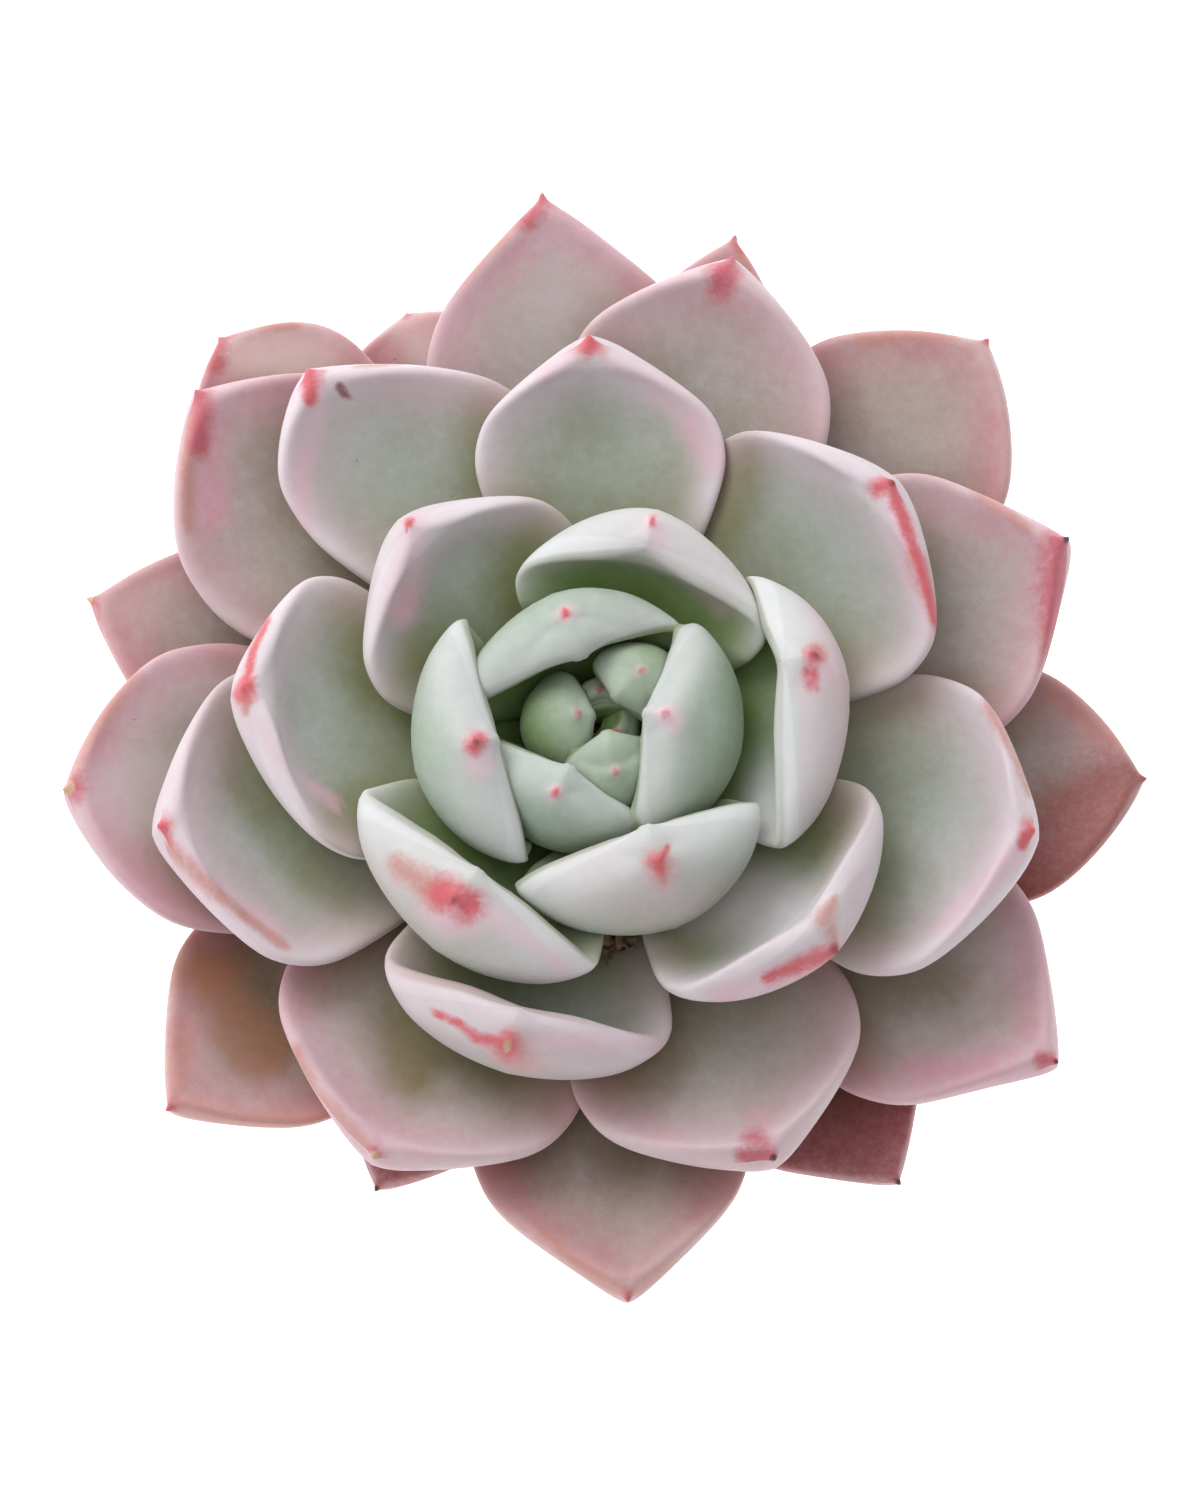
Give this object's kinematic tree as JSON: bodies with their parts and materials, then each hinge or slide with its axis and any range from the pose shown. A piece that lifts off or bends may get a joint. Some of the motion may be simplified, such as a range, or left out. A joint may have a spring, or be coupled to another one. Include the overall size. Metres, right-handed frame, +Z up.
{
  "type": "potted succulent",
  "caption": "Potted succulent: a rosette of plump, pale, powdery leaves with pink tips on a short stem, rooted in soil in a plain tapered clay pot.",
  "frame": {"origin": "on the ground at the middle of the pot's foot, under the middle of the whole plant", "axes": "+Z up out of the pot; +X to the right and +Y to the back when seen from the front"},
  "size_m": [0.1089, 0.1142, 0.1025],
  "materials": {
    "young_leaf": "pale grey-green with a powdery bloom, blushing pink at the rim",
    "old_leaf": "mauve-tan with a powdery bloom, pink rims and a darker tip",
    "bark": "dry, ringed with old leaf scars",
    "root_skin": "pale and fibrous",
    "earth": "dark and gritty",
    "clay": "matte unglazed terracotta"
  },
  "bodies": {
    "root": {"leaf_01": "young_leaf", "leaf_02": "young_leaf", "leaf_03": "young_leaf", "leaf_04": "young_leaf", "leaf_05": "young_leaf", "leaf_06": "young_leaf", "leaf_07": "young_leaf", "leaf_08": "young_leaf", "leaf_09": "young_leaf", "leaf_10": "young_leaf", "leaf_11": "young_leaf", "leaf_12": "young_leaf", "leaf_13": "young_leaf", "leaf_14": "young_leaf", "leaf_15": "young_leaf", "leaf_16": "young_leaf", "leaf_17": "young_leaf", "leaf_18": "young_leaf", "leaf_19": "young_leaf", "leaf_20": "young_leaf", "leaf_21": "old_leaf", "leaf_22": "old_leaf", "leaf_23": "old_leaf", "leaf_24": "old_leaf", "leaf_25": "old_leaf", "leaf_26": "old_leaf", "leaf_27": "old_leaf", "leaf_28": "old_leaf", "leaf_29": "old_leaf", "leaf_30": "old_leaf", "leaf_31": "old_leaf", "leaf_32": "old_leaf", "leaf_33": "old_leaf", "leaf_34": "old_leaf", "leaf_35": "old_leaf", "leaf_36": "old_leaf", "leaf_37": "old_leaf", "leaf_38": "old_leaf", "leaf_39": "old_leaf", "leaf_40": "old_leaf", "stem": "bark", "root_1": "root_skin", "root_2": "root_skin", "root_3": "root_skin", "root_4": "root_skin", "soil": "earth", "pot": "clay"}
  },
  "joints": []
}
